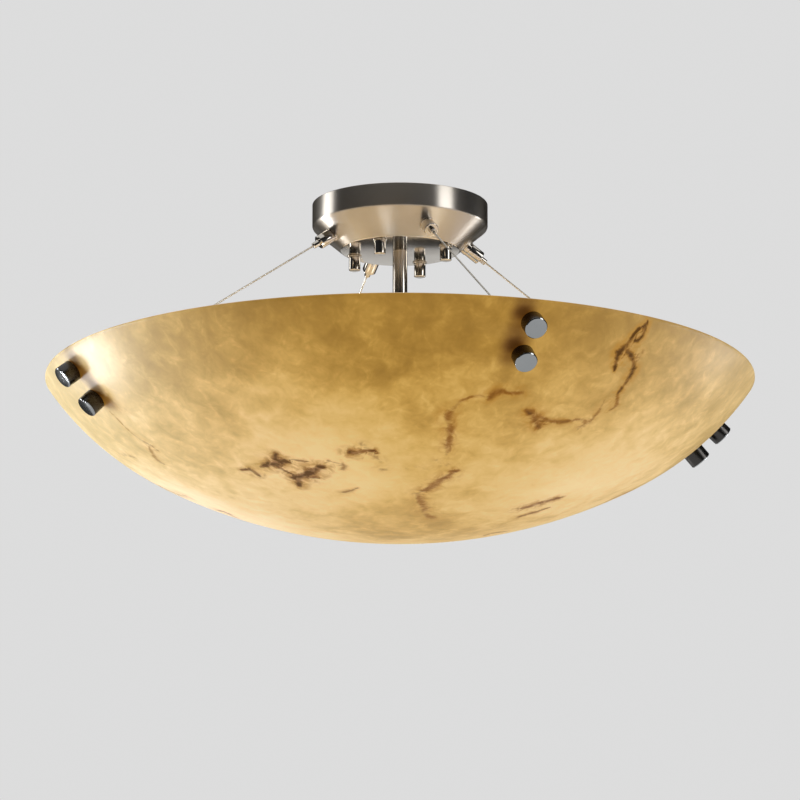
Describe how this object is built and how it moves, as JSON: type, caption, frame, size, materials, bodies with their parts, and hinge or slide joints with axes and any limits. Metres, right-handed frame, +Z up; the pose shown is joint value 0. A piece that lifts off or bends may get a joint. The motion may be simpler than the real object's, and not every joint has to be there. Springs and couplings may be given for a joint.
{
  "type": "semi flush ceiling light",
  "caption": "Semi flush ceiling light: shallow stone-look bowl on slim steel cables below a brushed nickel canopy, with a central stem and a lamp cluster inside.",
  "frame": {"origin": "centre of the ceiling plate's top face, on the ceiling", "axes": "+Z up, out of the ceiling side; +X and +Y along two of the four cables"},
  "size_m": [0.6214, 0.6214, 0.29],
  "materials": {
    "brushed_nickel": "spun and brushed, clear coated",
    "polished_nickel": "polished",
    "satin_nickel": "satin, with a turned face",
    "steel_cable": "stranded stainless rope",
    "zinc_steel": "bright zinc plate",
    "green_screw": "green dyed zinc",
    "white_enamel": "satin enamel",
    "white_ceramic": "glazed",
    "brass": "bright",
    "lamp_glass": "frosted inside",
    "rubber": "matte",
    "lead_insulation": "satin",
    "connector_plastic": "moulded",
    "stone_resin": "cast stone-look resin, cloudy honey with brown veins, glowing from inside"
  },
  "bodies": {
    "fixed_frame": {"mounting_plate": "zinc_steel", "ground_screw": "green_screw", "canopy": "brushed_nickel", "canopy_studs": "zinc_steel", "canopy_stud_nuts": "zinc_steel", "canopy_nut_washers": "polished_nickel", "canopy_cap_nuts": "polished_nickel", "stem": "polished_nickel", "stem_washer": "zinc_steel", "stem_lock_nuts": "zinc_steel", "gripper_wedges": "polished_nickel", "gripper_lock_nuts": "zinc_steel", "hub_body": "white_enamel", "hub_cover": "white_enamel", "hub_cap": "white_enamel", "socket_washers": "rubber", "hollow_screws": "brass", "socket_shells": "brass", "socket_contacts": "brass", "socket_leads": "lead_insulation", "supply_leads": "lead_insulation", "wire_connectors": "connector_plastic", "gripper_body_front": "polished_nickel", "gripper_spring_front": "zinc_steel", "cable_front": "steel_cable", "gripper_body_right": "polished_nickel", "gripper_spring_right": "zinc_steel", "cable_right": "steel_cable", "gripper_body_back": "polished_nickel", "gripper_spring_back": "zinc_steel", "cable_back": "steel_cable", "gripper_body_left": "polished_nickel", "gripper_spring_left": "zinc_steel", "cable_left": "steel_cable", "socket_front_right": "white_ceramic", "socket_back_right": "white_ceramic", "socket_back_left": "white_ceramic", "socket_front_left": "white_ceramic"},
    "bowl_assembly": {"bowl": "stone_resin", "strap_pads": "rubber", "wall_straps": "zinc_steel", "cable_stops": "zinc_steel", "finial_gaskets": "rubber", "finial_screws": "zinc_steel", "finials_front": "satin_nickel", "finials_right": "satin_nickel", "finials_back": "satin_nickel", "finials_left": "satin_nickel"},
    "plunger_front": {"gripper_plunger_front": "polished_nickel"},
    "plunger_right": {"gripper_plunger_right": "polished_nickel"},
    "plunger_back": {"gripper_plunger_back": "polished_nickel"},
    "plunger_left": {"gripper_plunger_left": "polished_nickel"},
    "lamp_front_right": {"bulb_globe_front_right": "lamp_glass", "bulb_base_front_right": "brass"},
    "lamp_back_right": {"bulb_globe_back_right": "lamp_glass", "bulb_base_back_right": "brass"},
    "lamp_back_left": {"bulb_globe_back_left": "lamp_glass", "bulb_base_back_left": "brass"},
    "lamp_front_left": {"bulb_globe_front_left": "lamp_glass", "bulb_base_front_left": "brass"}
  },
  "joints": [
    {"name": "bowl_height", "type": "slide", "parent": "fixed_frame", "child": "bowl_assembly", "axis": [0, 0, 1], "range_m": [-0.015, 0.015], "deforming": ["cable_front", "cable_right", "cable_back", "cable_left"]},
    {"name": "plunger_front_press", "type": "slide", "parent": "fixed_frame", "child": "plunger_front", "axis": [0, 0.8281, 0.5605], "range_m": [0, 0.0025], "stiffness_N_per_m": 1500, "springref_m": -0.002, "deforming": ["gripper_spring_front"]},
    {"name": "plunger_right_press", "type": "slide", "parent": "fixed_frame", "child": "plunger_right", "axis": [-0.8281, 0, 0.5605], "range_m": [0, 0.0025], "stiffness_N_per_m": 1500, "springref_m": -0.002, "deforming": ["gripper_spring_right"]},
    {"name": "plunger_back_press", "type": "slide", "parent": "fixed_frame", "child": "plunger_back", "axis": [0, -0.8281, 0.5605], "range_m": [0, 0.0025], "stiffness_N_per_m": 1500, "springref_m": -0.002, "deforming": ["gripper_spring_back"]},
    {"name": "plunger_left_press", "type": "slide", "parent": "fixed_frame", "child": "plunger_left", "axis": [0.8281, 0, 0.5605], "range_m": [0, 0.0025], "stiffness_N_per_m": 1500, "springref_m": -0.002, "deforming": ["gripper_spring_left"]},
    {"name": "lamp_front_right_out", "type": "slide", "parent": "fixed_frame", "child": "lamp_front_right", "axis": [0.7071, -0.7071, 0], "range_m": [0, 0.03]},
    {"name": "lamp_back_right_out", "type": "slide", "parent": "fixed_frame", "child": "lamp_back_right", "axis": [0.7071, 0.7071, 0], "range_m": [0, 0.03]},
    {"name": "lamp_back_left_out", "type": "slide", "parent": "fixed_frame", "child": "lamp_back_left", "axis": [-0.7071, 0.7071, 0], "range_m": [0, 0.03]},
    {"name": "lamp_front_left_out", "type": "slide", "parent": "fixed_frame", "child": "lamp_front_left", "axis": [-0.7071, -0.7071, 0], "range_m": [0, 0.03]}
  ]
}
